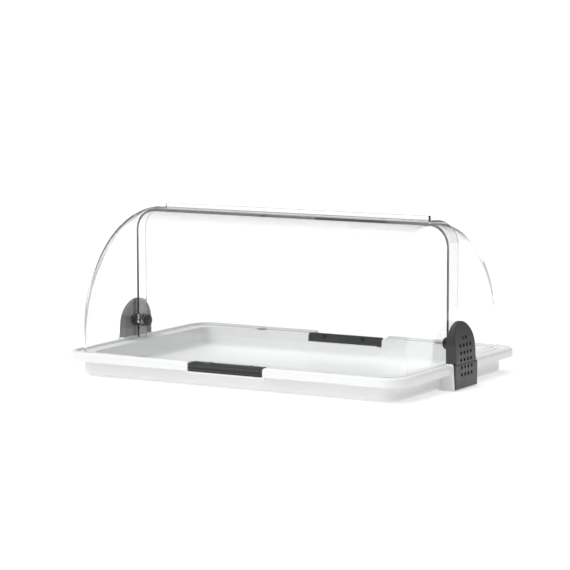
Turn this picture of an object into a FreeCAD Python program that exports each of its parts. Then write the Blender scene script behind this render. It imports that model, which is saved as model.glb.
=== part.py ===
import FreeCAD, Part
import math
import os

os.makedirs("parts", exist_ok=True)
Vector = FreeCAD.Vector

# Roll-top display for the counter: a moulded tray under two clear quarter-drum covers.
# X runs along the tray, -Y is the customer's side, Z is up.
# The origin is on the table under the middle of the tray. Lengths are in millimetres.

# Driving sizes
rim_length = 440.0
rim_width = 296.0
rim_top = 29.0
pivot_rise = 19.5
cut_overrun = 5.0

# Tray
rim_corner = 29.0
skirt_height = 10.3
skirt_wall = 3.0
rim_round = 3.4
skirt_foot_round = 0.8
lip_width = 6.5
lip_depth = 2.5
ledge_thickness = 3.0
body_inset = 13.2
body_corner = 22.0
body_draft = 0.5
body_foot_round = 6.5
well_inset = 25.3
well_corner = 13.0
well_draft = 3.0
well_foot_round = 6.0
floor_thickness = 3.7

# Feet under the tray
foot_proud = 0.5
foot_recess = 1.5
foot_radius = 8.0
foot_inset_x = 45.0
foot_inset_y = 45.0
foot_edge_round = 0.4

# Pedestal blocks in the middle of the tray's short sides
block_half_width = 30.0
block_proud = 1.0
block_draft = 1.8
block_rise = 1.0
block_corner = 3.5
block_top_round = 2.0
block_wall = 6.0
block_roof = 7.0

# Covers
cover_wall = 2.5
cover_side_gap = 5.3
cover_front_gap = 5.0
shell_gap = 0.9
end_gap = 0.9
outer_round = 26.0
inner_round = 24.0
outer_overlap = 9.0
inner_overlap = 10.5
tab_drop = 3.3
rail_half_length = 173.7
rail_width = 5.5
rail_height = 4.0
rail_round = 1.2

# Rest pads between the covers and the ledge
pad_height = 1.0
pad_radius = 6.0
pad_spread = 120.0
rest_gap = 0.3

# Pivots
pin_radius = 3.0
running_clearance = 0.05
seat_clearance = 0.02
boss_radius = 7.6
outer_boss_length = 0.8
inner_boss_length = 2.6
boss_side_gap = 0.3
spacer_radius = 6.5
spacer_side_gap = 0.2
knob_radius = 6.8
knob_length = 4.9
knob_dome = 2.2
knob_core_length = 3.2
washer_radius = 6.2
washer_thickness = 0.6
bushing_radius = 7.2
bushing_gap = 0.4
bushing_groove_width = 2.4
bushing_groove_depth = 1.2
spigot_radius = 5.2
pin_head_radius = 4.0
pin_head_length = 1.0
pin_socket_depth = 2.5
pin_chamfer = 0.4

# Side plates and the brackets behind them
plate_gap = 3.5
housing_gap = 0.3
plate_proud = 2.0
plate_foot_proud = 0.7
plate_skin = 2.5
plate_wall = 2.2
plate_foot_half_width = 26.8
plate_face_half_width = 24.2
plate_seat_half_width = 27.6
plate_face_rise = 27.4
plate_seat_rise = 27.0
plate_shoulder = 18.5
plate_crown_drop = 7.1
plate_foot_gap = 0.7
plate_foot_step = 0.5
plate_foot_round = 1.0
plate_round = 1.8
plate_arch_steps = 12
plate_rib = 1.6
hole_radius = 2.15
hole_pitch = 8.0
hole_first_row = 16.7
hole_rows = 6
hole_columns = 4
hole_top_columns = 2
bracket_gap = 0.1
bracket_recess = 0.2
bracket_leg = 2.3
bracket_web = 3.2
bracket_rise = 4.0
bracket_thickness = 2.0
bracket_lean_room = 2.8
bracket_side_gap = 0.6
leg_side_gap = 0.3

# Grips
grip_length = 95.6
grip_drop = 0.3
grip_leg_drop = 1.8
grip_floor_gap = 0.6
grip_flush = 0.2
grip_crown_round = 3.8
grip_groove_radius = 4.5
grip_groove_depth = 0.8
grip_groove_height = 4.9
front_grip_inner = 2.2
rear_grip_inner = 8.0
grip_pass_gap = 0.8
grip_slot_gap = 0.1
grip_round = 2.0
grip_small_round = 1.0
notch_gap = 0.6
notch_round = 2.6
notch_floor_drop = 10.5
notch_plate = 1.6
notch_wall = 2.0

# Screws
grip_screw_radius = 1.5
grip_screw_head = 2.8
grip_screw_head_depth = 1.6
grip_screw_spread = 26.0
grip_screw_recess = 0.3
plate_screw_radius = 1.75
plate_screw_head = 3.2
plate_screw_head_depth = 1.7
plate_screw_length = 7.5
plate_screw_y = 19.0
plate_screw_low = 8.0
plate_screw_high = 23.0
socket_share = 0.5
socket_depth_share = 0.7

# Places that follow from the sizes above
half_length = rim_length / 2
half_width = rim_width / 2
skirt_foot = rim_top - skirt_height
ledge = rim_top - lip_depth
tray_foot = foot_proud
tray_floor = tray_foot + floor_thickness
pivot = rim_top + pivot_rise
cover_base = ledge + pad_height + rest_gap
outer_end = half_length - lip_width - cover_side_gap
outer_radius = half_width - lip_width - cover_front_gap
inner_end = outer_end - cover_wall - end_gap
inner_radius = outer_radius - cover_wall - shell_gap
plate_seat = outer_end + plate_gap
block_face = half_length + block_proud
block_top = rim_top + block_rise
plate_face = block_face + plate_proud
plate_foot_face = plate_face + plate_foot_proud
skin_back = plate_face - plate_skin
pocket_face = skin_back - bracket_leg - 2 * bracket_gap
plate_shoulder_height = rim_top + plate_shoulder
plate_top = plate_shoulder_height + plate_seat_rise
housing_foot = block_top + housing_gap
tab_base = cover_base - tab_drop
outer_tab_face = outer_radius
inner_tab_face = math.sqrt(inner_radius ** 2 - (pivot - tab_base) ** 2)
notch_floor = rim_top - notch_floor_drop
notch_half = grip_length / 2 + notch_gap
grip_base = notch_floor + grip_floor_gap
grip_top = rim_top - grip_drop
grip_leg_top = rim_top - grip_leg_drop
grip_screw_height = (tab_base + grip_leg_top) / 2
front_grip_face = outer_radius - cover_wall - front_grip_inner
rear_grip_face = inner_radius - cover_wall - rear_grip_inner
front_screw_length = front_grip_inner + 2 * cover_wall
rear_screw_length = inner_tab_face - rear_grip_face - grip_screw_recess
bracket_back = skin_back - bracket_lean_room
bracket_face = bracket_back - bracket_thickness
bushing_base = outer_end + outer_boss_length + bushing_gap
knob_base = inner_end - cover_wall - inner_boss_length - boss_side_gap - washer_thickness
knob_end = knob_base - knob_length


def box(x0, x1, y0, y1, z0, z1):
    return Part.makeBox(x1 - x0, y1 - y0, z1 - z0, Vector(x0, y0, z0))


def cylinder_x(radius, x0, x1, y=0, z=pivot):
    return Part.makeCylinder(radius, x1 - x0, Vector(x0, y, z), Vector(1, 0, 0))


def line(a, b):
    return Part.LineSegment(a, b).toShape()


def arc(a, b, c):
    return Part.Arc(a, b, c).toShape()


def mirrored_x(shape):
    return shape.mirror(Vector(0, 0, 0), Vector(1, 0, 0))


def mirrored_y(shape):
    return shape.mirror(Vector(0, 0, 0), Vector(0, 1, 0))


def fused(shapes):
    return shapes[0].multiFuse(shapes[1:]).removeSplitter()


def rounded_rectangle(half_x, half_y, corner, z):
    """Closed wire of four sides and four corner arcs, level at height z."""
    cut = corner * math.sqrt(0.5)
    edges = []
    for sx, sy in ((1, 1), (-1, 1), (-1, -1), (1, -1)):
        cx = sx * (half_x - corner)
        cy = sy * (half_y - corner)
        on_x = Vector(cx + sx * corner, cy, z)
        on_y = Vector(cx, cy + sy * corner, z)
        middle = Vector(cx + sx * cut, cy + sy * cut, z)
        first, last = (on_x, on_y) if sx * sy > 0 else (on_y, on_x)
        edges.append((first, middle, last))
    wire = []
    for here, after in zip(edges, edges[1:] + edges[:1]):
        wire.append(arc(*here))
        wire.append(line(here[2], after[0]))
    return Part.Wire(wire)


def slab(half_x, half_y, corner, z0, z1):
    face = Part.Face(rounded_rectangle(half_x, half_y, corner, z0))
    return face.extrude(Vector(0, 0, z1 - z0))


def tapered_slab(top, foot, z0, z1):
    """Slab whose foot and top are (half_x, half_y, corner)."""
    low = rounded_rectangle(*foot, z0)
    high = rounded_rectangle(*top, z1)
    return Part.makeLoft([low, high], True, True)


def level_edges(shape, z, tolerance=1e-4):
    found = []
    for edge in shape.Edges:
        if all(abs(vertex.Z - z) < tolerance for vertex in edge.Vertexes):
            found.append(edge)
    return found


# Tray
def tray_rim():
    rim = slab(half_length, half_width, rim_corner, skirt_foot, rim_top)
    rim = rim.makeFillet(rim_round, level_edges(rim, rim_top))
    rim = rim.makeFillet(skirt_foot_round, level_edges(rim, skirt_foot))
    hollow = slab(half_length - skirt_wall, half_width - skirt_wall, rim_corner - skirt_wall,
                  skirt_foot - cut_overrun, ledge - ledge_thickness)
    return rim.cut(hollow)


def tray_body():
    top = (half_length - body_inset, half_width - body_inset, body_corner)
    foot = (top[0] - body_draft, top[1] - body_draft, body_corner - body_draft)
    body = tapered_slab(top, foot, tray_foot, ledge - ledge_thickness / 2)
    return body.makeFillet(body_foot_round, level_edges(body, tray_foot))


def tray_recess():
    return slab(half_length - lip_width, half_width - lip_width, rim_corner - lip_width,
                ledge, rim_top + cut_overrun)


def tray_well():
    top = (half_length - well_inset, half_width - well_inset, well_corner)
    foot = (top[0] - well_draft, top[1] - well_draft, well_corner - well_draft)
    well = tapered_slab(top, foot, tray_floor, ledge)
    well = well.makeFillet(well_foot_round, level_edges(well, tray_floor))
    mouth = slab(*top, ledge - seat_clearance, rim_top + cut_overrun)
    return well.fuse(mouth)


def pedestal():
    """Block that stands from the table to just over the rim and takes a side plate."""
    root = half_length - body_inset - block_corner
    profile = [(root, tray_foot), (block_face + block_draft, tray_foot),
               (block_face, block_top), (root, block_top)]
    outline = [Vector(x, -block_half_width, z) for x, z in profile]
    face = Part.Face(Part.makePolygon(outline + outline[:1]))
    block = face.extrude(Vector(0, 2 * block_half_width, 0))
    corners = []
    for edge in block.Edges:
        upright = abs(edge.Vertexes[0].Z - edge.Vertexes[-1].Z) > block_wall
        if upright and edge.CenterOfMass.x > half_length:
            corners.append(edge)
    block = block.makeFillet(block_corner, corners)
    outer_top = []
    for edge in level_edges(block, block_top):
        if edge.CenterOfMass.x > root + block_corner / 2:
            outer_top.append(edge)
    return block.makeFillet(block_top_round, outer_top)


def pedestal_cuts():
    inside = box(half_length - body_inset + block_corner / 2, pocket_face - block_wall,
                 block_wall - block_half_width, block_half_width - block_wall,
                 tray_foot - cut_overrun, block_top - block_roof)
    pocket = box(pocket_face, block_face + block_draft + cut_overrun,
                 -plate_foot_half_width - leg_side_gap, plate_foot_half_width + leg_side_gap,
                 tray_foot - cut_overrun, block_top + cut_overrun)
    return [inside, pocket]


def notch_walls():
    """Floor and side walls of the notch that a grip drops into, on the front."""
    back = half_width - body_inset - notch_wall
    reach = notch_half + notch_wall
    floor = box(-reach, reach, -half_width, -back, notch_floor - notch_plate, notch_floor)
    side = box(notch_half, reach, -half_width, -back, notch_floor - notch_plate, ledge)
    return [floor, side, mirrored_x(side)]


def notch_cut():
    """Cutter for a grip's notch; it flares at the top, so the rim's ends come out rounded."""
    flare = notch_half + notch_round
    bend = rim_top - notch_round
    cut = notch_round * (1 - math.sqrt(0.5))
    front = -half_width - cut_overrun

    def at(x, z):
        return Vector(x, front, z)

    wire = Part.Wire([
        line(at(-notch_half, notch_floor), at(-notch_half, bend)),
        arc(at(-notch_half, bend), at(-notch_half - cut, rim_top - cut), at(-flare, rim_top)),
        line(at(-flare, rim_top), at(-flare, rim_top + cut_overrun)),
        line(at(-flare, rim_top + cut_overrun), at(flare, rim_top + cut_overrun)),
        line(at(flare, rim_top + cut_overrun), at(flare, rim_top)),
        arc(at(flare, rim_top), at(notch_half + cut, rim_top - cut), at(notch_half, bend)),
        line(at(notch_half, bend), at(notch_half, notch_floor)),
        line(at(notch_half, notch_floor), at(-notch_half, notch_floor)),
    ])
    well_side = half_width - well_inset - well_draft
    return Part.Face(wire).extrude(Vector(0, half_width + cut_overrun - well_side, 0))


def foot_places():
    x = half_length - foot_inset_x
    y = half_width - foot_inset_y
    return [(sx * x, sy * y) for sx in (-1, 1) for sy in (-1, 1)]


def pad_places():
    y = inner_radius + shell_gap / 2
    return [(sx * pad_spread, sy * y) for sx in (-1, 1) for sy in (-1, 1)]


def make_tray():
    block = pedestal()
    solids = [tray_rim(), tray_body(), block, mirrored_x(block)]
    front_walls = notch_walls()
    solids += front_walls + [mirrored_y(wall) for wall in front_walls]
    tray = fused(solids)
    cuts = [tray_recess(), tray_well(), notch_cut(), mirrored_y(notch_cut())]
    for cut in pedestal_cuts():
        cuts += [cut, mirrored_x(cut)]
    for x, y in foot_places():
        cuts.append(Part.makeCylinder(foot_radius + seat_clearance, foot_recess + cut_overrun,
                                      Vector(x, y, tray_foot - cut_overrun)))
    for screw in plate_screw_bores():
        cuts += [screw, mirrored_x(screw)]
    return tray.cut(cuts).removeSplitter()


def make_feet():
    feet = []
    for x, y in foot_places():
        foot = Part.makeCylinder(foot_radius, foot_proud + foot_recess, Vector(x, y, 0))
        feet.append(foot.makeFillet(foot_edge_round, level_edges(foot, 0)))
    return Part.makeCompound(feet)


def make_pads():
    pads = []
    for x, y in pad_places():
        pads.append(Part.makeCylinder(pad_radius, pad_height, Vector(x, y, ledge)))
    return Part.makeCompound(pads)


# Covers, both drawn as the front one: the drum lies towards -Y
def loaf(radius, half, base, edge_round):
    """Solid with a half-round top, straight sides down to base and rounded ends."""
    foot_front = Vector(-half, -radius, base)
    side_front = Vector(-half, -radius, pivot)
    side_back = Vector(-half, radius, pivot)
    foot_back = Vector(-half, radius, base)
    wire = Part.Wire([
        line(foot_front, side_front),
        arc(side_front, Vector(-half, 0, pivot + radius), side_back),
        line(side_back, foot_back),
        line(foot_back, foot_front),
    ])
    solid = Part.Face(wire).extrude(Vector(2 * half, 0, 0))
    ends = []
    for edge in solid.Edges:
        flat = abs(edge.Vertexes[0].X - edge.Vertexes[-1].X) < running_clearance
        if flat and edge.CenterOfMass.z > base + edge_round / 2:
            ends.append(edge)
    return solid.makeFillet(edge_round, ends)


def drum(radius, half, edge_round):
    """Round solid about the pivots' axis, with rounded ends."""
    solid = cylinder_x(radius, -half, half)
    ends = [edge for edge in solid.Edges if abs(abs(edge.CenterOfMass.x) - half) < running_clearance]
    return solid.makeFillet(edge_round, ends)


def cover_space(half, overlap):
    """Where a cover may be: its foot swings clear of the ledge behind the pivots' plane."""
    beyond = half + cut_overrun
    front = -outer_radius - cut_overrun
    upper = box(-beyond, beyond, front, overlap, pivot, pivot + outer_radius + cut_overrun)
    lower = box(-beyond, beyond, front, 0, cover_base, pivot)
    swing = cylinder_x(pivot - cover_base, -beyond, beyond)
    swing = swing.common(box(-beyond, beyond, 0, overlap, cover_base, pivot))
    return fused([upper, lower, swing])


def cover_tab(face):
    """Plate under the foot of a cover, for its grip; face is how far out it stands."""
    tab_half = grip_length / 2 - grip_round
    return box(-tab_half, tab_half, -face, -face + cover_wall, tab_base, grip_top)


def edge_rail():
    """Low rail on the free edge of the outer cover, between its rounded ends."""
    rail = box(-rail_half_length, rail_half_length, outer_overlap - rail_width, outer_overlap,
               pivot + outer_radius - cover_wall / 2, pivot + outer_radius + rail_height)
    return rail.makeFillet(rail_round, level_edges(rail, pivot + outer_radius + rail_height))


def grip_screw_holes():
    """Bores through a cover's tab for the grip's screws."""
    holes = []
    radius = grip_screw_radius + running_clearance
    for side in (-1, 1):
        start = Vector(side * grip_screw_spread, -outer_radius - cut_overrun, grip_screw_height)
        holes.append(Part.makeCylinder(radius, 3 * cut_overrun, start, Vector(0, 1, 0)))
    return holes


def make_front_cover():
    outside = loaf(outer_radius, outer_end, tab_base, outer_round)
    inside = loaf(outer_radius - cover_wall, outer_end - cover_wall, tab_base - cut_overrun,
                  outer_round - cover_wall)
    shell = outside.cut(inside).common(cover_space(outer_end, outer_overlap))
    boss = cylinder_x(boss_radius, outer_end - cover_wall / 2, outer_end + outer_boss_length)
    shell = fused([shell, boss, mirrored_x(boss), cover_tab(outer_tab_face), edge_rail()])
    bore = cylinder_x(pin_radius + running_clearance, -plate_face, plate_face)
    return shell.cut([bore] + grip_screw_holes()).removeSplitter()


def make_rear_cover():
    outside = drum(inner_radius, inner_end, inner_round)
    inside = drum(inner_radius - cover_wall, inner_end - cover_wall, inner_round - cover_wall)
    shell = outside.cut(inside).common(cover_space(inner_end, inner_overlap))
    wall = inner_end - cover_wall
    boss = cylinder_x(boss_radius, wall - inner_boss_length, wall + cover_wall / 2)
    shell = fused([shell, boss, mirrored_x(boss), cover_tab(inner_tab_face)])
    bore = cylinder_x(pin_radius + running_clearance, -plate_face, plate_face)
    return mirrored_y(shell.cut([bore] + grip_screw_holes()).removeSplitter())


# Grips, drawn on the front and mirrored for the rear
def face_edges(shape, y, tolerance=1e-4):
    found = []
    for edge in shape.Edges:
        if all(abs(vertex.Y - y) < tolerance for vertex in edge.Vertexes):
            found.append(edge)
    return found


def grip_slot(face, skin=0):
    """Cutter for the tab's slot; skin is how far it goes on past the tab's outer face."""
    return box(-grip_length / 2 - cut_overrun, grip_length / 2 + cut_overrun,
               -face - grip_slot_gap - skin, -face + cover_wall + grip_slot_gap,
               tab_base - grip_slot_gap, grip_top + cut_overrun)


def grip_screw(side, inner_face, length, extra=0):
    """Countersunk screw from the inner face of a grip towards its outer face."""
    head = Vector(side * grip_screw_spread, inner_face, grip_screw_height)
    outward = Vector(0, -1, 0)
    shank = Part.makeCylinder(grip_screw_radius + extra, length, head, outward)
    cone = Part.makeCone(grip_screw_head + extra, grip_screw_radius + extra,
                         grip_screw_head_depth + extra, head, outward)
    return shank.fuse(cone).removeSplitter()


def socketed(screw, place, direction, head_radius, head_depth):
    """Hexagon socket cut into a screw's head."""
    across = head_radius * socket_share
    side_a, side_b = Vector(0, 0, 1), direction.cross(Vector(0, 0, 1))
    points = []
    for step in range(7):
        angle = math.radians(60 * step)
        points.append(place + side_a * (across * math.cos(angle))
                      + side_b * (across * math.sin(angle)))
    prism = Part.Face(Part.makePolygon(points)).extrude(direction * (head_depth * socket_depth_share))
    return screw.cut(prism)


def make_front_grip():
    outer_face = -half_width + grip_flush
    inner_face = -front_grip_face
    bar_back = -outer_tab_face - grip_slot_gap
    half = grip_length / 2
    bar = box(-half, half, outer_face, bar_back, grip_base, grip_top)
    crown = [edge for edge in level_edges(bar, grip_top)
             if abs(edge.CenterOfMass.y - outer_face) < running_clearance]
    bar = bar.makeFillet(grip_crown_round, crown)
    ends = [edge for edge in bar.Edges
            if edge.CenterOfMass.y < bar_back - grip_crown_round / 2
            and abs(abs(edge.CenterOfMass.x) - half) < running_clearance]
    foot = [edge for edge in level_edges(bar, grip_base)
            if abs(edge.CenterOfMass.y - outer_face) < running_clearance]
    bar = bar.makeFillet(grip_round, ends + foot)
    groove = cylinder_x(grip_groove_radius, -half - cut_overrun, half + cut_overrun,
                        outer_face - grip_groove_radius + grip_groove_depth,
                        grip_base + grip_groove_height)
    leg = box(-half, half, bar_back - grip_small_round, inner_face, grip_base, grip_leg_top)
    leg = leg.makeFillet(grip_small_round, face_edges(leg, inner_face))
    bar = fused([bar.cut(groove), leg])
    cuts = [grip_slot(outer_tab_face)]
    for side in (-1, 1):
        cuts.append(grip_screw(side, inner_face, front_screw_length, seat_clearance))
    return bar.cut(cuts).removeSplitter()


def make_rear_grip():
    """Bar inside the tab, with a lip under it that the outer cover can pass over."""
    pass_radius = outer_radius - cover_wall - grip_pass_gap
    inner_face = -rear_grip_face
    half = grip_length / 2

    def on_circle(z):
        return Vector(-half, -math.sqrt(pass_radius ** 2 - (pivot - z) ** 2), z)

    low, middle, high = [on_circle(z) for z in (grip_base, (grip_base + grip_top) / 2, grip_top)]
    inner_high = Vector(-half, inner_face, grip_top)
    inner_low = Vector(-half, inner_face, grip_base)
    wire = Part.Wire([arc(low, middle, high), line(high, inner_high),
                      line(inner_high, inner_low), line(inner_low, low)])
    bar = Part.Face(wire).extrude(Vector(grip_length, 0, 0))
    bar = bar.makeFillet(grip_small_round, face_edges(bar, inner_face))
    cuts = [grip_slot(inner_tab_face, cut_overrun)]
    for side in (-1, 1):
        cuts.append(grip_screw(side, inner_face, rear_screw_length, seat_clearance))
    return mirrored_y(bar.cut(cuts).removeSplitter())


def make_grip_screws(inner_face, length):
    screws = []
    for side in (-1, 1):
        screw = grip_screw(side, inner_face, length)
        place = Vector(side * grip_screw_spread, inner_face, grip_screw_height)
        screws.append(socketed(screw, place, Vector(0, -1, 0), grip_screw_head,
                               grip_screw_head_depth))
    return Part.makeCompound(screws)


# Side plates, drawn on the right
def arch_wire(x, half, foot, shoulder, rise):
    """Upright sides with a domed top, in the plane at x."""
    dome = []
    for step in range(plate_arch_steps + 1):
        angle = math.pi * step / plate_arch_steps
        dome.append(Vector(x, half * math.cos(angle), shoulder + rise * math.sin(angle)))
    curve = Part.BSplineCurve()
    curve.interpolate(dome)
    right_foot, left_foot = Vector(x, half, foot), Vector(x, -half, foot)
    return Part.Wire([line(right_foot, dome[0]), curve.toShape(), line(dome[-1], left_foot),
                      line(left_foot, right_foot)])


def crown_prism(face, seat, foot, half):
    """Everything inside a face that is upright to the shoulder and leans inwards above it."""
    bend = block_top
    top = plate_top + cut_overrun
    drop = plate_crown_drop * ((top - bend) / (plate_top - bend)) ** 2
    bend_radius = ((top - bend) ** 2 + drop ** 2) / (2 * drop)
    angle = math.asin((top - bend) / bend_radius) / 2
    middle = Vector(face - bend_radius * (1 - math.cos(angle)), -half,
                    bend + bend_radius * math.sin(angle))
    corners = [Vector(x, -half, z) for x, z in
               ((seat, foot), (face, foot), (face, bend), (face - drop, top), (seat, top))]
    wire = Part.Wire([line(corners[0], corners[1]), line(corners[1], corners[2]),
                      arc(corners[2], middle, corners[3]), line(corners[3], corners[4]),
                      line(corners[4], corners[0])])
    return Part.Face(wire).extrude(Vector(0, 2 * half, 0))


def housing_arch(x, inset, foot):
    """Section of the housing at x; it narrows evenly from its seat to its face."""
    share = (x - plate_seat) / (plate_face - plate_seat)
    half = plate_seat_half_width + share * (plate_face_half_width - plate_seat_half_width)
    rise = plate_seat_rise + share * (plate_face_rise - plate_seat_rise)
    return arch_wire(x, half - inset, foot, plate_shoulder_height, rise - inset)


def housing_body(inset, seat, foot):
    """Domed housing over the pedestal; inset moves its sides and face inwards."""
    ends = (plate_seat - cut_overrun, plate_face + cut_overrun)
    draft = Part.makeLoft([housing_arch(x, inset, foot) for x in ends], True, True)
    face = plate_face - (plate_skin if inset else 0)
    crown = crown_prism(face, seat, foot - cut_overrun, plate_foot_half_width * 2)
    return draft.common(crown)


def hole_places():
    places = []
    for row in range(hole_rows):
        columns = hole_columns if row < hole_rows - 1 else hole_top_columns
        z = hole_first_row + hole_pitch * row
        for column in range(columns):
            places.append((hole_pitch * (column - (columns - 1) / 2), z))
    return places


def make_side_plate():
    outside = housing_body(0, plate_seat, housing_foot)
    rounded = []
    for edge in outside.Edges:
        centre = edge.CenterOfMass
        if centre.x > skin_back - plate_crown_drop and centre.z > housing_foot + plate_round:
            ends = [vertex.X for vertex in edge.Vertexes]
            if min(ends) > plate_seat + plate_round or len(edge.Vertexes) == 1:
                rounded.append(edge)
    outside = outside.makeFillet(plate_round, rounded)
    cavity = housing_body(plate_wall, plate_seat - cut_overrun, housing_foot - cut_overrun)
    shell = outside.cut(cavity)
    rib = box(plate_seat, plate_face, -plate_rib / 2, plate_rib / 2,
              pivot + bushing_radius + plate_rib, plate_top)
    rib = rib.common(housing_body(plate_wall / 2, plate_seat + plate_rib, housing_foot))
    foot_skin = box(skin_back, plate_foot_face, -plate_foot_half_width, plate_foot_half_width,
                    tray_foot + plate_foot_gap, rim_top - plate_foot_step)
    brim = [edge for edge in foot_skin.Edges
            if all(abs(vertex.X - plate_foot_face) < running_clearance
                   for vertex in edge.Vertexes)]
    foot_skin = foot_skin.makeFillet(plate_foot_round, brim)
    neck = box(skin_back, plate_face, -plate_face_half_width, plate_face_half_width,
               rim_top - plate_foot_step - plate_skin, housing_foot + plate_skin)
    plate = fused([shell, rib, foot_skin, neck])
    holes = []
    for y, z in hole_places():
        holes.append(cylinder_x(hole_radius, plate_seat + plate_wall,
                                plate_foot_face + cut_overrun, y, z))
    return plate.cut(holes).removeSplitter()


def plate_screw_places():
    return [(side * plate_screw_y, z) for side in (-1, 1)
            for z in (plate_screw_low, plate_screw_high)]


def plate_screw(y, z, extra=0):
    head = Vector(skin_back - bracket_gap - bracket_recess, y, z)
    inward = Vector(-1, 0, 0)
    shank = Part.makeCylinder(plate_screw_radius + extra, plate_screw_length, head, inward)
    cone = Part.makeCone(plate_screw_head + extra, plate_screw_radius + extra,
                         plate_screw_head_depth + extra, head, inward)
    return shank.fuse(cone).removeSplitter()


def plate_screw_bores():
    return [plate_screw(y, z, seat_clearance) for y, z in plate_screw_places()]


def make_plate_screws():
    screws = []
    for y, z in plate_screw_places():
        place = Vector(skin_back - bracket_gap - bracket_recess, y, z)
        screws.append(socketed(plate_screw(y, z), place, Vector(-1, 0, 0), plate_screw_head,
                               plate_screw_head_depth))
    return Part.makeCompound(screws)


def make_bracket():
    """Inner bracket: a leg screwed into the pedestal's pocket and a wall that holds the pin."""
    half_leg = plate_foot_half_width - leg_side_gap
    leg_face = skin_back - bracket_gap
    leg = box(leg_face - bracket_leg, leg_face, -half_leg, half_leg,
              tray_foot + plate_foot_gap, rim_top - plate_foot_step - leg_side_gap)
    half_wall = plate_face_half_width - plate_wall - bracket_side_gap
    web_top = housing_foot + bracket_web
    neck = box(leg_face - bracket_leg, leg_face, -half_wall, half_wall,
               rim_top - plate_foot_step - bracket_web, web_top)
    web = box(bracket_face, leg_face, -half_wall, half_wall, housing_foot, web_top)
    wall = box(bracket_face, bracket_back, -half_wall, half_wall, housing_foot,
               pivot + bracket_rise)
    boss = cylinder_x(bushing_radius, bracket_face, bracket_back)
    bracket = fused([leg, neck, web, wall, boss])
    bores = plate_screw_bores()
    bores.append(cylinder_x(spigot_radius + seat_clearance, bracket_face - cut_overrun,
                            plate_face))
    return bracket.cut(bores).removeSplitter()


def make_bushing():
    """Collar with a groove round it, and a spigot pressed into the bracket."""
    collar = cylinder_x(bushing_radius, bushing_base, bracket_face)
    spigot = cylinder_x(spigot_radius, bracket_face, bracket_back)
    groove_start = (bushing_base + bracket_face - bushing_groove_width) / 2
    groove_end = groove_start + bushing_groove_width
    ring = cylinder_x(bushing_radius + cut_overrun, groove_start, groove_end)
    core = cylinder_x(bushing_radius - bushing_groove_depth, groove_start, groove_end)
    bore = cylinder_x(pin_radius + seat_clearance, outer_end, plate_face)
    seat = cylinder_x(pin_head_radius + seat_clearance,
                      bracket_back - pin_head_length - seat_clearance, plate_face)
    return fused([collar, spigot]).cut([ring.cut(core), bore, seat])


def make_pin():
    """Shoulder screw: its head lies in the bushing and its tip is screwed into the knob."""
    tip = knob_base - knob_core_length
    shank = cylinder_x(pin_radius, tip, bracket_back)
    head = cylinder_x(pin_head_radius, bracket_back - pin_head_length, bracket_back)
    ends = [edge for edge in shank.Edges if abs(edge.CenterOfMass.x - tip) < running_clearance]
    pin = fused([shank.makeChamfer(pin_chamfer, ends), head])
    return socketed(pin, Vector(bracket_back, 0, pivot), Vector(-1, 0, 0), pin_head_radius,
                    pin_socket_depth)


def make_spacer():
    """Thin washer between the end walls of the two covers."""
    start = inner_end + spacer_side_gap
    end = outer_end - cover_wall - spacer_side_gap
    ring = cylinder_x(spacer_radius, start, end)
    return ring.cut(cylinder_x(pin_radius + seat_clearance, start - cut_overrun, end + cut_overrun))


def make_washer():
    ring = cylinder_x(washer_radius, knob_base, knob_base + washer_thickness)
    return ring.cut(cylinder_x(pin_radius + seat_clearance, knob_end, inner_end))


def make_knob():
    knob = cylinder_x(knob_radius, knob_end, knob_base)
    rim = [edge for edge in knob.Edges if abs(edge.CenterOfMass.x - knob_end) < running_clearance]
    knob = knob.makeFillet(knob_dome, rim)
    socket = cylinder_x(pin_radius + seat_clearance, knob_base - knob_core_length - seat_clearance,
                        knob_base + cut_overrun)
    return knob.cut(socket)


def save(name, shape):
    shape.exportStep("parts/" + name + ".step")
    print(name, len(shape.Solids), "solids", round(shape.Volume), "mm3", shape.isValid())


def save_pair(name, shape):
    save("right_" + name, shape)
    save("left_" + name, mirrored_x(shape))


save("tray", make_tray())
save("rubber_feet", make_feet())
save("rest_pads", make_pads())
save("front_cover", make_front_cover())
save("front_grip", make_front_grip())
save("front_grip_screws", make_grip_screws(-front_grip_face, front_screw_length))
save("rear_cover", make_rear_cover())
save("rear_grip", make_rear_grip())
save("rear_grip_screws", mirrored_y(make_grip_screws(-rear_grip_face, rear_screw_length)))
save_pair("side_plate", make_side_plate())
save_pair("bracket", make_bracket())
save_pair("bracket_screws", make_plate_screws())
save_pair("pivot_bushing", make_bushing())
save_pair("pivot_pin", make_pin())
save_pair("spacer_ring", make_spacer())
save_pair("knob_washer", make_washer())
save_pair("pivot_knob", make_knob())
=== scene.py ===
# %% [markdown]
# # A countertop bread display bin
#
# The real object is a white serving tray with two clear roll-top covers that turn on
# the same pair of pins. Grey plates at both ends hide the pins' brackets, and a dark
# grip bar at each long edge lifts one cover. The solids come from the imported model and
# stand where they belong, so the work here is finish, light and small turned pieces.
#
# The first step loads that model.

# %% Load the model
import math

import bmesh
import bpy
from mathutils import Matrix, Vector


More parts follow.
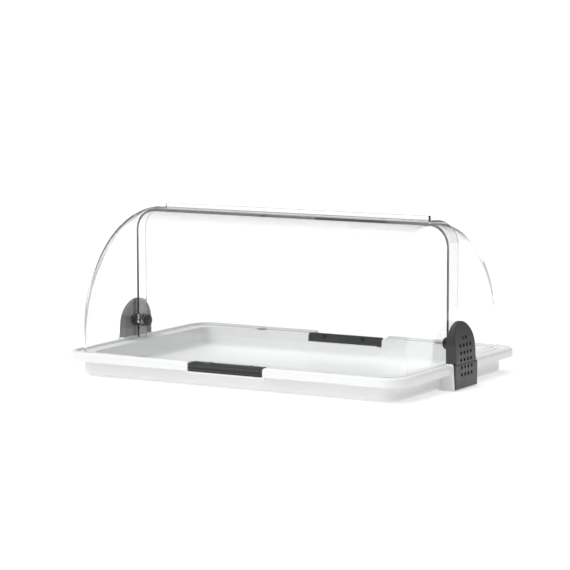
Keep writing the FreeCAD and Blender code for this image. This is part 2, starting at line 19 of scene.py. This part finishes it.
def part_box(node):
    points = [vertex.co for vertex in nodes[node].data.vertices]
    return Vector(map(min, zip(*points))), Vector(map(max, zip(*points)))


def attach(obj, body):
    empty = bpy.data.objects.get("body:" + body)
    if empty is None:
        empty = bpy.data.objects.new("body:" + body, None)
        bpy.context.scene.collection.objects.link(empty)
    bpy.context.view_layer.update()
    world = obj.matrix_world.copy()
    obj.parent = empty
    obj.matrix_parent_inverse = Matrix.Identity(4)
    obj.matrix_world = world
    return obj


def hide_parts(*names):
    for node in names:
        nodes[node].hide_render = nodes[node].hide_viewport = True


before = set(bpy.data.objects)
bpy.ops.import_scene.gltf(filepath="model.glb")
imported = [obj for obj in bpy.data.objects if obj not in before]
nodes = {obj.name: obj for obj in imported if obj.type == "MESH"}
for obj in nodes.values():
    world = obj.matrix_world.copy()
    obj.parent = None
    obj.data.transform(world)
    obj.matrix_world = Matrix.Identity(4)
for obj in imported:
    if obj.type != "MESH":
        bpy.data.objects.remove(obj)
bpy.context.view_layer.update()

# %% [markdown]
# ## The camera
#
# A shop picture like this is taken with a long lens from a few metres away, which keeps
# the tray's edges nearly parallel. One could aim a camera with a constraint, but a plain
# place and three angles say the same and leave nothing to be solved. Places are in
# metres, angles in radians, and the lens and its sensor in millimetres.

# %% Camera
camera_place = (1.52538, -2.61148, 0.46927)
camera_turn = (1.449974, 0.003168, 0.530886)
camera_lens = 168.09
camera_sensor = 36.0
camera_far_end = 200.0

camera_data = bpy.data.cameras.new("camera")
camera_data.lens = camera_lens
camera_data.sensor_width = camera_sensor
camera_data.clip_end = camera_far_end
camera = bpy.data.objects.new("camera", camera_data)
camera.location = camera_place
camera.rotation_euler = camera_turn
bpy.context.scene.collection.objects.link(camera)
bpy.context.scene.camera = camera
print("camera at", camera_place, "lens", camera_lens)

# %% [markdown]
# ## Helpers for pieces and shader nodes
#
# Floor, sky and finishes are all built of a few kinds of node. Each could be added by
# hand in the shader editor. As functions, they let a step below say what it wants in one
# line, and a value is then written only once.

# %% Helpers for a new object and a plain material


def link(name, mesh):
    """Puts a new object with this mesh in the scene."""
    thing = bpy.data.objects.new(name, mesh)
    bpy.context.scene.collection.objects.link(thing)
    return thing


def plain_material(name, shade, roughness):
    """A material whose principled shader is returned with it, for nodes to be added."""
    made = bpy.data.materials.new(name)
    made.use_nodes = True
    shader = made.node_tree.nodes["Principled BSDF"]
    shader.inputs["Base Color"].default_value = (*shade, 1.0)
    shader.inputs["Roughness"].default_value = roughness
    return made, shader


# %% Helpers for sums and smooth steps


def number(tree, operation, first, second=0.0):
    """A Math node whose inputs are numbers or other nodes' outputs."""
    node = tree.nodes.new("ShaderNodeMath")
    node.operation = operation
    for socket, value in zip(node.inputs, (first, second)):
        if isinstance(value, float):
            socket.default_value = value
        else:
            tree.links.new(value, socket)
    return node.outputs["Value"]


def between(tree, value, start, end, low=0.0, high=1.0):
    """A smooth step from low to high as value runs from start to end."""
    node = tree.nodes.new("ShaderNodeMapRange")
    node.interpolation_type = "SMOOTHSTEP"
    for name, amount in zip(("From Min", "From Max", "To Min", "To Max"), (start, end, low, high)):
        node.inputs[name].default_value = amount
    tree.links.new(value, node.inputs["Value"])
    return node.outputs["Result"]


def faced(tree, coordinates):
    """Outputs X, Y and Z of these coordinates, turned so that Y runs away from the camera."""
    facing = tree.nodes.new("ShaderNodeMapping")
    facing.inputs["Rotation"].default_value = (0.0, 0.0, -camera_turn[2])
    tree.links.new(coordinates, facing.inputs["Vector"])
    split = tree.nodes.new("ShaderNodeSeparateXYZ")
    tree.links.new(facing.outputs["Vector"], split.inputs["Vector"])
    return split.outputs


# %% [markdown]
# ## Floor
#
# The object stands on a light table: white paper that is lit from above and glows a
# little from below, so the shadows on it stay pale. A curved backdrop could close the
# view behind the object, but hides it from that side. A flat sheet that reaches nearly
# to the horizon serves every view. It is staged, so it is no part of the object.

# %% Floor sheet
floor_reach = 60.0

mesh = bpy.data.meshes.new("floor")
sheet = bmesh.new()
bmesh.ops.create_grid(sheet, x_segments=1, y_segments=1, size=floor_reach)
sheet.to_mesh(mesh)
sheet.free()
floor = link("floor", mesh)
print("floor half side", floor_reach, "m")

# %% [markdown]
# Clear plastic has no colour of its own, and what draws its edges is the room that they bend into
# view. Black cards beside the object would draw them strongly, but would show from other sides. So
# a pool of light is painted on the paper. It stays white in a part that widens behind the object,
# and fades to a painted grey shade at its sides and in front, which draws the edges more faintly.
# The glow takes the same painted colour, so the pool also glows more than the grey. The pool's
# limits are in metres from the object's middle, left, right and in front as one stands at the
# camera.

# %% Floor paint
# The floor is painted as a pool of light: white inside it, and grey as painted shade outside it.
lit_pool_white = 0.72
painted_shade_grey = 0.32
floor_glow = 0.44
floor_roughness = 0.9
pool_left = 0.31
pool_left_fade = 0.12
pool_right = 0.45
pool_right_fade = 0.3
pool_widening = 0.16
pool_front = 1.15
pool_fade = 0.6

floor_paint, shader = plain_material("floor_paint", (lit_pool_white,) * 3, floor_roughness)
shader.inputs["Specular IOR Level"].default_value = 0.0
tree = floor_paint.node_tree
place = tree.nodes.new("ShaderNodeTexCoord")
spot = faced(tree, place.outputs["Object"])
width = number(tree, "MULTIPLY", number(tree, "MAXIMUM", spot["Y"], 0.0), pool_widening)
left = number(tree, "SUBTRACT", number(tree, "MULTIPLY", spot["X"], -1.0), width)
left = between(tree, left, pool_left, pool_left + pool_left_fade)
right = number(tree, "SUBTRACT", spot["X"], width)
right = between(tree, right, pool_right, pool_right + pool_right_fade)
side = number(tree, "MAXIMUM", left, right)
front = number(tree, "MULTIPLY", spot["Y"], -1.0)
front = between(tree, front, pool_front, pool_front + pool_fade)
# painted shade: how far the floor turns grey outside the painted pool of light
painted_shade = number(tree, "MAXIMUM", side, front)
blend = tree.nodes.new("ShaderNodeMix")
blend.data_type = "RGBA"
blend.inputs["A"].default_value = (*(lit_pool_white,) * 3, 1.0)
blend.inputs["B"].default_value = (*(painted_shade_grey,) * 3, 1.0)
tree.links.new(painted_shade, blend.inputs["Factor"])
tree.links.new(blend.outputs["Result"], shader.inputs["Base Color"])
# the glow follows the painted colour, so the painted pool glows more than the painted shade
tree.links.new(blend.outputs["Result"], shader.inputs["Emission Color"])
shader.inputs["Emission Strength"].default_value = floor_glow / lit_pool_white
floor.data.materials.append(floor_paint)
print("floor shades from", lit_pool_white, "to", painted_shade_grey, "glow", floor_glow)

# %% [markdown]
# ## Sky
#
# The sky stands for the studio's walls and its big overhead lamp. A picture of a room
# could do this too, but three smooth steps are enough: a white ceiling, a white wall
# low behind the object, and dim walls on its other sides. The steps run over the parts
# of a direction of length 1: its height, and how far it points away from the camera.

# %% Sky
sky_dark = 0.15
sky_top = 1.0
sky_back = 1.05
ceiling_start = 0.6
ceiling_full = 0.9
wall_full = 0.05
wall_end = 0.2
behind_start = 0.5
behind_full = 0.8

world = bpy.data.worlds.new("studio")
bpy.context.scene.world = world
world.use_nodes = True
world.cycles.sampling_method = "NONE"
sky = world.node_tree
direction = sky.nodes.new("ShaderNodeTexCoord")
aim = faced(sky, direction.outputs["Generated"])
overhead = between(sky, aim["Z"], ceiling_start, ceiling_full, 0.0, sky_top)
low = between(sky, aim["Z"], wall_full, wall_end, 1.0, 0.0)
behind = between(sky, aim["Y"], behind_start, behind_full, 0.0, sky_back)
level = number(sky, "ADD", number(sky, "MULTIPLY", low, behind), overhead)
level = number(sky, "ADD", level, sky_dark)
sky.links.new(level, sky.nodes["Background"].inputs["Strength"])
sky.nodes["Background"].inputs["Color"].default_value = (1.0, 1.0, 1.0, 1.0)
print("sky: dim", sky_dark, "ceiling", sky_top, "back wall", sky_back)

# %% [markdown]
# ## Lamps
#
# Large soft boxes light such a picture. Area lamps could stand for them, but a sun with
# a wide spread gives the same soft shadow wherever the object stands. Reflections and
# refraction leave the suns out, because each would show there as a disc, which no soft
# box does.

# %% Lamps
lamps = {
    # name: (strength, spread in degrees, direction the light travels)
    "key_sun": (1.45, 55.0, (0.5, 0.8, -0.66)),
    "top_sun": (0.95, 100.0, (0.1, -0.1, -1.0)),
}
for name, (strength, spread, heading) in lamps.items():
    data = bpy.data.lights.new(name, "SUN")
    data.energy = strength
    data.angle = math.radians(spread)
    lamp = bpy.data.objects.new(name, data)
    lamp.rotation_mode = "QUATERNION"
    lamp.rotation_quaternion = Vector(heading).to_track_quat("-Z", "Y")
    lamp.visible_glossy = False
    lamp.visible_transmission = False
    bpy.context.scene.collection.objects.link(lamp)
print("lamps:", sorted(lamps))

# %% [markdown]
# ## Light paths and tones
#
# Light that comes in through one cover and leaves through the other passes two clear
# walls, so four surfaces, and more where the walls overlap or where it runs along inside
# one. A path that runs out of bounces ends in black, so the limit is high. The Standard
# view shows shades as they are worked out, which keeps white paper white.

# %% Light paths and tones
light_bounces = 64

cycles = bpy.context.scene.cycles
cycles.max_bounces = light_bounces
cycles.glossy_bounces = light_bounces
cycles.transmission_bounces = light_bounces
cycles.transparent_max_bounces = light_bounces
bpy.context.scene.view_settings.view_transform = "Standard"
print("bounces up to", light_bounces)

# %% [markdown]
# ## Finishes
#
# A finish with a pattern reads the object's own coordinates, in metres. So a noise of
# scale 400 has features of about 2.5 mm on every piece, and runs on from one face to the
# next. An image could be wrapped on instead, but it would need a seam and a fixed size.
# Four helpers do what the finishes share: a noise, a socket that follows it, a tint of
# the base colour, and a fine relief such as a mould leaves on plastic.

# %% Helpers for a noise and what follows it
noise_low = 0.3
noise_high = 0.7


def noise(made, scale, detail=2.0):
    """A noise over the piece's own coordinates, with features about 1/scale metres."""
    tree = made.node_tree
    place = tree.nodes.new("ShaderNodeTexCoord")
    grain = tree.nodes.new("ShaderNodeTexNoise")
    grain.inputs["Scale"].default_value = scale
    grain.inputs["Detail"].default_value = detail
    tree.links.new(place.outputs["Object"], grain.inputs["Vector"])
    return grain.outputs["Fac"]


def vary(made, shader, socket, source, low, high):
    """The socket runs from low to high as source runs over a noise's usual span."""
    spread = made.node_tree.nodes.new("ShaderNodeMapRange")
    spread.inputs["From Min"].default_value = noise_low
    spread.inputs["From Max"].default_value = noise_high
    spread.inputs["To Min"].default_value = low
    spread.inputs["To Max"].default_value = high
    made.node_tree.links.new(source, spread.inputs["Value"])
    made.node_tree.links.new(spread.outputs["Result"], shader.inputs[socket])


# %% Helpers for a tint and a relief


def tint(made, shader, source, dark, light):
    """The base colour runs between two shades of the same plastic."""
    blend = made.node_tree.nodes.new("ShaderNodeMix")
    blend.data_type = "RGBA"
    blend.inputs["A"].default_value = (*dark, 1.0)
    blend.inputs["B"].default_value = (*light, 1.0)
    made.node_tree.links.new(source, blend.inputs["Factor"])
    made.node_tree.links.new(blend.outputs["Result"], shader.inputs["Base Color"])


def bump(made, shader, source, height):
    """A relief of this height in metres."""
    relief = made.node_tree.nodes.new("ShaderNodeBump")
    relief.inputs["Strength"].default_value = 1.0
    relief.inputs["Distance"].default_value = height
    made.node_tree.links.new(source, relief.inputs["Height"])
    made.node_tree.links.new(relief.outputs["Normal"], shader.inputs["Normal"])


# %% [markdown]
# ## White moulding
#
# The tray is one glossy white moulding. A perfectly even white would look drawn, while a
# strong change of gloss reads as marble on such a surface. So the gloss changes by very
# little and over a few centimetres.

# %% White moulding
white_moulding, shader = plain_material("white_moulding", (0.86, 0.865, 0.865), 0.3)
shader.inputs["IOR"].default_value = 1.5
tint(white_moulding, shader, noise(white_moulding, 9.0), (0.835, 0.84, 0.84), (0.85, 0.855, 0.855))
vary(white_moulding, shader, "Roughness", noise(white_moulding, 25.0, 0.0), 0.285, 0.3)
bump(white_moulding, shader, noise(white_moulding, 40.0, 0.0), 0.000006)
print("made", white_moulding.name)

# %% [markdown]
# ## Clear plastic
#
# The covers bend light as real acrylic does. A plain see-through shader would be quicker,
# but it bends nothing, so the edges would be lost. A volume takes a little light per
# metre of plastic: a wall seen face on stays clear, while light that runs along inside it
# comes out greyer. In a test render the curved outlines hardly changed with it, while the
# ridge and the right-hand edge came out clearly darker.

# %% Clear plastic
plastic_soak = 5.0
acrylic_ior = 1.49


def clear_material(name, tint_shade, roughness):
    """Real refraction, with the sun let through so that it casts no dark shadow."""
    made, shader = plain_material(name, tint_shade, roughness)
    shader.inputs["Transmission Weight"].default_value = 1.0
    shader.inputs["IOR"].default_value = acrylic_ior
    tree = made.node_tree
    path = tree.nodes.new("ShaderNodeLightPath")
    open_shader = tree.nodes.new("ShaderNodeBsdfTransparent")
    open_shader.inputs["Color"].default_value = (*tint_shade, 1.0)
    mix = tree.nodes.new("ShaderNodeMixShader")
    tree.links.new(path.outputs["Is Shadow Ray"], mix.inputs[0])
    tree.links.new(shader.outputs[0], mix.inputs[1])
    tree.links.new(open_shader.outputs[0], mix.inputs[2])
    tree.links.new(mix.outputs[0], tree.nodes["Material Output"].inputs["Surface"])
    soak = tree.nodes.new("ShaderNodeVolumeAbsorption")
    soak.inputs["Color"].default_value = (0.0, 0.0, 0.0, 1.0)
    soak.inputs["Density"].default_value = plastic_soak
    tree.links.new(soak.outputs["Volume"], tree.nodes["Material Output"].inputs["Volume"])
    return made


clear_cover = clear_material("clear_cover", (0.995, 0.998, 0.998), 0.0)
clear_ring = clear_material("clear_ring", (0.9, 0.92, 0.92), 0.12)
print("made", clear_cover.name, "and", clear_ring.name, "of density", plastic_soak)

# %% [markdown]
# ## Dark plastics
#
# The side plates are a dark grey moulding with a fine grain, the grip bars a smoother
# near-black one, and the knobs and collars are glossy black. Plain colours would do from
# far off. Here a noise moves the gloss a little, so that a highlight breaks up as it
# does on a moulding.

# %% Dark plastics
grey_plastic, shader = plain_material("grey_plastic", (0.05, 0.05, 0.052), 0.4)
tint(grey_plastic, shader, noise(grey_plastic, 25.0), (0.045, 0.045, 0.047), (0.055, 0.055, 0.057))
vary(grey_plastic, shader, "Roughness", noise(grey_plastic, 90.0), 0.34, 0.44)
bump(grey_plastic, shader, noise(grey_plastic, 2200.0), 0.00001)

grip_plastic, shader = plain_material("grip_plastic", (0.03, 0.031, 0.034), 0.4)
vary(grip_plastic, shader, "Roughness", noise(grip_plastic, 90.0), 0.34, 0.46)
bump(grip_plastic, shader, noise(grip_plastic, 2000.0), 0.000004)

black_plastic, shader = plain_material("black_plastic", (0.02, 0.02, 0.022), 0.3)
vary(black_plastic, shader, "Roughness", noise(black_plastic, 150.0), 0.26, 0.36)
bump(black_plastic, shader, noise(black_plastic, 1500.0), 0.00002)
print("made", grey_plastic.name, grip_plastic.name, black_plastic.name)

# %% [markdown]
# ## Rubber and silicone
#
# The feet are dull black rubber. The rest pads are milky silicone, which lets part of the
# light through. Subsurface scattering could make them milky too, but a share of
# transmission is one value. The pads come out greyer with it than the real ones look.

# %% Rubber and silicone
rubber, shader = plain_material("rubber", (0.03, 0.03, 0.03), 0.75)
vary(rubber, shader, "Roughness", noise(rubber, 200.0), 0.68, 0.82)
bump(rubber, shader, noise(rubber, 1800.0), 0.00005)

pad_silicone, shader = plain_material("pad_silicone", (0.82, 0.83, 0.83), 0.35)
shader.inputs["Transmission Weight"].default_value = 0.6
shader.inputs["IOR"].default_value = 1.41
vary(pad_silicone, shader, "Roughness", noise(pad_silicone, 300.0), 0.3, 0.42)
print("made", rubber.name, pad_silicone.name)

# %% [markdown]
# ## Steel
#
# Screws, washers and pins are turned steel, and the grips' screws are blackened. A lathe
# leaves fine rings, but on pieces this small they are too fine to see, so an even grain
# that changes the gloss stands for them.

# %% Steel
bright_steel = (0.6, 0.6, 0.61)
blackened_steel = (0.05, 0.05, 0.052)


def steel(name, shade, roughness_low, roughness_high):
    """Metal with a fine even grain that changes its gloss."""
    made, shader = plain_material(name, shade, roughness_low)
    shader.inputs["Metallic"].default_value = 1.0
    vary(made, shader, "Roughness", noise(made, 900.0), roughness_low, roughness_high)
    bump(made, shader, noise(made, 2500.0), 0.00001)
    return made


steel_screw = steel("steel_screw", bright_steel, 0.22, 0.34)
dark_screw = steel("dark_screw", blackened_steel, 0.3, 0.42)
steel_pin = steel("steel_pin", bright_steel, 0.18, 0.3)
print("made", steel_screw.name, dark_screw.name, steel_pin.name)

# %% [markdown]
# ## Dressing the solids
#
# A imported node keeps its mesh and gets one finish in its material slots. A list with one
# line per node would do, but left and right pieces are alike, so the finish is looked up
# by the node's name without its left or right.

# %% Give each node its finish
finishes = {
    "tray": white_moulding,
    "rubber_feet": rubber,
    "rest_pads": pad_silicone,
    "front_cover": clear_cover,
    "rear_cover": clear_cover,
    "front_grip": grip_plastic,
    "rear_grip": grip_plastic,
    "front_grip_screws": dark_screw,
    "rear_grip_screws": dark_screw,
    "side_plate": grey_plastic,
    "bracket": grey_plastic,
    "bracket_screws": steel_screw,
    "pivot_bushing": black_plastic,
    "pivot_pin": steel_pin,
    "spacer_ring": clear_ring,
    "knob_washer": steel_screw,
    "pivot_knob": black_plastic,
}
for name, node in nodes.items():
    key = name.removeprefix("left_").removeprefix("right_")
    node.data.materials.clear()
    node.data.materials.append(finishes[key])
print("dressed", len(nodes), "nodes")

# %% [markdown]
# ## Soft light in the tray
#
# The inside of the tray is lit through the covers. Where light has to find its way
# through bending walls, too little of it arrives. So soft light passes the covers
# straight, while the camera's view, reflections and refraction meet them as they are. In
# a test render this raised the inside of the tray from 163 to 189 of 255, and it made
# the picture no smoother and no rougher.

# %% Soft light passes the covers
for name in ("front_cover", "rear_cover"):
    nodes[name].visible_diffuse = False
    print("soft light passes", name)

# %% [markdown]
# ## Turned pieces
#
# The knobs, washers, collars, feet and rest pads are round, as if made on a lathe. A
# Screw modifier could turn their outlines, but a spun bmesh leaves a plain mesh and lets
# each corner have its own rounding, which is what catches the light on a small moulding.
# Each outline is a list of (radius, height, rounding) in millimetres.

# %% Helper that turns an outline
turn_steps = 64
corner_segments = 5
millimetre = 0.001
same_place = 1e-7


def turned(outline):
    """Spins the outline about Z; it closes on itself unless it starts on the axis."""
    work = bmesh.new()
    points = [work.verts.new((r * millimetre, 0.0, h * millimetre)) for r, h, _ in outline]
    pairs = list(zip(points, points[1:]))
    if outline[0][0] > 0:
        pairs.append((points[-1], points[0]))
    edges = [work.edges.new(pair) for pair in pairs]
    bmesh.ops.spin(work, geom=points + edges, cent=(0, 0, 0), axis=(0, 0, 1),
                   angle=math.tau, steps=turn_steps, use_merge=True)
    bmesh.ops.remove_doubles(work, verts=work.verts, dist=same_place)
    bmesh.ops.recalc_face_normals(work, faces=work.faces)
    for radius, height, rounding in outline:
        if not rounding:
            continue
        ring = [edge for edge in work.edges if all(
            abs(math.hypot(v.co.x, v.co.y) - radius * millimetre) < same_place
            and abs(v.co.z - height * millimetre) < same_place for v in edge.verts)]
        bmesh.ops.bevel(work, geom=ring, offset=rounding * millimetre, offset_type="OFFSET",
                        segments=corner_segments, profile=0.5, affect="EDGES", material=-1)
    return work


# %% [markdown]
# A turned piece is shaded smooth, and stays crisp where two faces meet at more than the
# angle below. Four feet are one node in the model, so several turned shapes can also be
# joined into one piece. That piece rides on the base, as the nodes it stands for do.

# %% Helper that sets turned shapes in place
crisp_angle = 40.0


def set_turned(name, outline, matrices, finish, node):
    """Puts one turned shape at each matrix, as one piece that stands for a CAD node."""
    joined = bmesh.new()
    for matrix in matrices:
        work = turned(outline)
        bmesh.ops.transform(work, matrix=matrix, verts=work.verts)
        step = bpy.data.meshes.new("step")
        work.to_mesh(step)
        work.free()
        joined.from_mesh(step)
        bpy.data.meshes.remove(step)
    mesh = bpy.data.meshes.new(name)
    joined.to_mesh(mesh)
    joined.free()
    mesh.shade_smooth()
    mesh.set_sharp_from_angle(angle=math.radians(crisp_angle))
    mesh.materials.append(finish)
    piece = link(name, mesh)
    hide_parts(node)
    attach(piece, "base")
    print(name, "stands for", node, "with", len(mesh.polygons), "faces")


# %% [markdown]
# ## Pivots
#
# Each pin ends inside the covers in a black domed knob on a steel washer. A thin clear
# washer keeps the two covers apart, and a grooved collar carries the pin outside them.
# Their places could be typed in, but the boxes of the nodes that they stand for already
# hold them. Heights run inwards from the piece's outer end, so left and right share one
# outline.

# %% Helper that finds a piece's seat
pin_bore = 3.04
ends = (("left", -1), ("right", 1))


def seat_of(node, side):
    """Radius, length and place of a round node on the pivots' axis, from its box."""
    low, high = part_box(node)
    outer = high.x if side > 0 else low.x
    middle = Vector((outer, (low.y + high.y) / 2, (low.z + high.z) / 2))
    inwards = Matrix.Rotation(math.radians(-90 * side), 4, "Y")
    radius = (high.y - low.y) / 2 / millimetre
    length = (high.x - low.x) / millimetre
    return radius, length, Matrix.Translation(middle) @ inwards


# %% [markdown]
# The knob is a short cylinder whose inner end is rounded to a dome, with a blind bore
# for the pin. A sphere cut in half could be its head, but one large rounding at the end
# of the outline runs into the side without a seam.

# %% Knobs
knob_bore_depth = 3.25
knob_edge = 0.3
knob_dome = 2.9

for side_name, side in ends:
    radius, length, matrix = seat_of(side_name + "_pivot_knob", side)
    outline = [(0, knob_bore_depth, 0), (pin_bore, knob_bore_depth, 0), (pin_bore, 0, 0),
               (radius, 0, knob_edge), (radius, length, knob_dome), (0, length, 0)]
    set_turned(side_name + "_knob_dome", outline, [matrix], black_plastic,
               side_name + "_pivot_knob")

# %% [markdown]
# The steel washer under the knob and the clear washer between the covers are the same
# shape in two sizes: a flat ring with a small rounding on its outer edges, as a punched
# washer has. A cylinder with a hole cut in it would do too, but four points of an
# outline say the same.

# %% Washers
washer_edge = 0.15

for side_name, side in ends:
    for node, finish, slot_name in (("_knob_washer", steel_screw, "steel_screw"),
                                    ("_spacer_ring", clear_ring, "clear_ring")):
        radius, length, matrix = seat_of(side_name + node, side)
        outline = [(pin_bore, 0, 0), (radius, 0, washer_edge), (radius, length, washer_edge),
                   (pin_bore, length, 0)]
        set_turned(side_name + node + "_turned", outline, [matrix], finish,
                   side_name + node)

# %% [markdown]
# The collar has a thin spigot that goes into the bracket, a recess for the pin's head
# and one groove round its middle. The groove is part of the outline, so that the same
# turn cuts it and rounds its lips.

# %% Collars
collar_edge = 0.35
spigot_length = 2.0
spigot_radius = 5.2
head_radius = 4.05
head_depth = 1.02
groove_half = 1.2
groove_depth = 1.2

for side_name, side in ends:
    radius, length, matrix = seat_of(side_name + "_pivot_bushing", side)
    groove = (spigot_length + length) / 2
    core = radius - groove_depth
    outline = [(head_radius, 0, 0), (spigot_radius, 0, 0), (spigot_radius, spigot_length, 0),
               (radius, spigot_length, 0), (radius, groove - groove_half, collar_edge),
               (core, groove - groove_half, 0), (core, groove + groove_half, 0),
               (radius, groove + groove_half, collar_edge), (radius, length, collar_edge),
               (pin_bore, length, 0), (pin_bore, head_depth, 0), (head_radius, head_depth, 0)]
    set_turned(side_name + "_collar", outline, [matrix], black_plastic,
               side_name + "_pivot_bushing")

# %% [markdown]
# ## Feet and rest pads
#
# Four rubber discs under the tray have a shallow dish below, so they grip the table at
# their edge. Four small milky pads on the ledge catch the covers when they close. They
# could be set one by one, but a node's box gives all four corners at once.

# %% Helper that finds four corners


def corner_places(node, radius):
    """Matrices of four round pieces in the corners of a node's box, and their height."""
    low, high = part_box(node)
    inset = radius * millimetre
    spots = [(x, y, low.z) for x in (low.x + inset, high.x - inset)
             for y in (low.y + inset, high.y - inset)]
    return [Matrix.Translation(spot) for spot in spots], (high.z - low.z) / millimetre


# %% Feet
foot_radius = 8.0
foot_dish = 0.35
foot_ring = 5.6
foot_edge = 0.4

places, height = corner_places("rubber_feet", foot_radius)
outline = [(0, foot_dish, 0), (foot_ring - foot_dish, foot_dish, 0), (foot_ring, 0, 0),
           (foot_radius, 0, foot_edge), (foot_radius, height, 0), (0, height, 0)]
set_turned("dished_feet", outline, places, rubber, "rubber_feet")

# %% Rest pads
pad_radius = 6.0
pad_crown = 0.85

places, height = corner_places("rest_pads", pad_radius)
outline = [(0, 0, 0), (pad_radius, 0, 0), (pad_radius, height, pad_crown), (0, height, 0)]
set_turned("domed_pads", outline, places, pad_silicone, "rest_pads")
